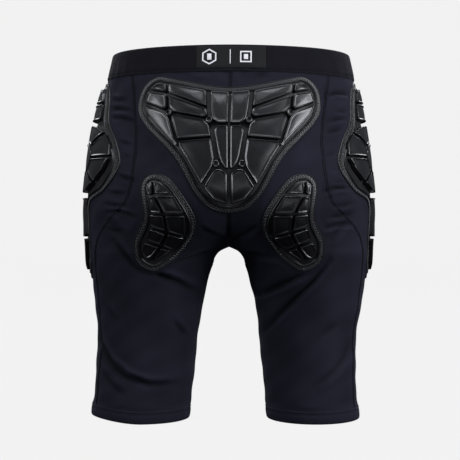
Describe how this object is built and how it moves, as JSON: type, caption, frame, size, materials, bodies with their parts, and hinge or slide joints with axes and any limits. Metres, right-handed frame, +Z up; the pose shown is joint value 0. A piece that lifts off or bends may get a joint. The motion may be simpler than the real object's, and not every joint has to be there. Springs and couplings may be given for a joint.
{
  "type": "padded impact shorts",
  "caption": "Stretch-knit shorts with a wide elastic waistband and moulded impact pads sewn on over the tailbone, the lower seat and the hips.",
  "frame": {"origin": "on the floor, midway between the two leg hems, at the middle of the shorts' box", "axes": "+Z up, +Y towards the front of the wearer, +X to the wearer's right"},
  "size_m": [0.3622, 0.2474, 0.447],
  "materials": {
    "stretch_knit": "matte navy-black stretch knit",
    "hem_knit": "matte navy-black stretch knit, turned up",
    "waistband_knit": "matte ribbed knitted band",
    "elastic": "ribbed elastic",
    "patch_fabric": "matte black woven patch",
    "mark_print": "pale rubbery print",
    "pad_skin": "satin black moulded elastomer",
    "pad_blocks": "glossy black moulded elastomer",
    "thread": "matte polyester thread"
  },
  "bodies": {
    "root": {"back_panel_left": "stretch_knit", "back_panel_right": "stretch_knit", "back_seam_left": "thread", "back_seam_right": "thread", "centre_back_seam": "thread", "centre_front_seam": "thread", "crotch_gusset": "stretch_knit", "front_panel_left": "stretch_knit", "front_panel_right": "stretch_knit", "front_seam_left": "thread", "front_seam_right": "thread", "hip_pad_blocks_left": "pad_blocks", "hip_pad_blocks_right": "pad_blocks", "hip_pad_skin_left": "pad_skin", "hip_pad_skin_right": "pad_skin", "inseam_left": "thread", "inseam_right": "thread", "leg_hem_left": "hem_knit", "leg_hem_right": "hem_knit", "patch_marks": "mark_print", "seat_pad_blocks_left": "pad_blocks", "seat_pad_blocks_right": "pad_blocks", "seat_pad_skin_left": "pad_skin", "seat_pad_skin_right": "pad_skin", "side_panel_left": "stretch_knit", "side_panel_right": "stretch_knit", "tailbone_pad_blocks": "pad_blocks", "tailbone_pad_skin": "pad_skin", "waist_patch": "patch_fabric", "waistband": "waistband_knit", "waistband_elastic": "elastic"}
  },
  "joints": []
}
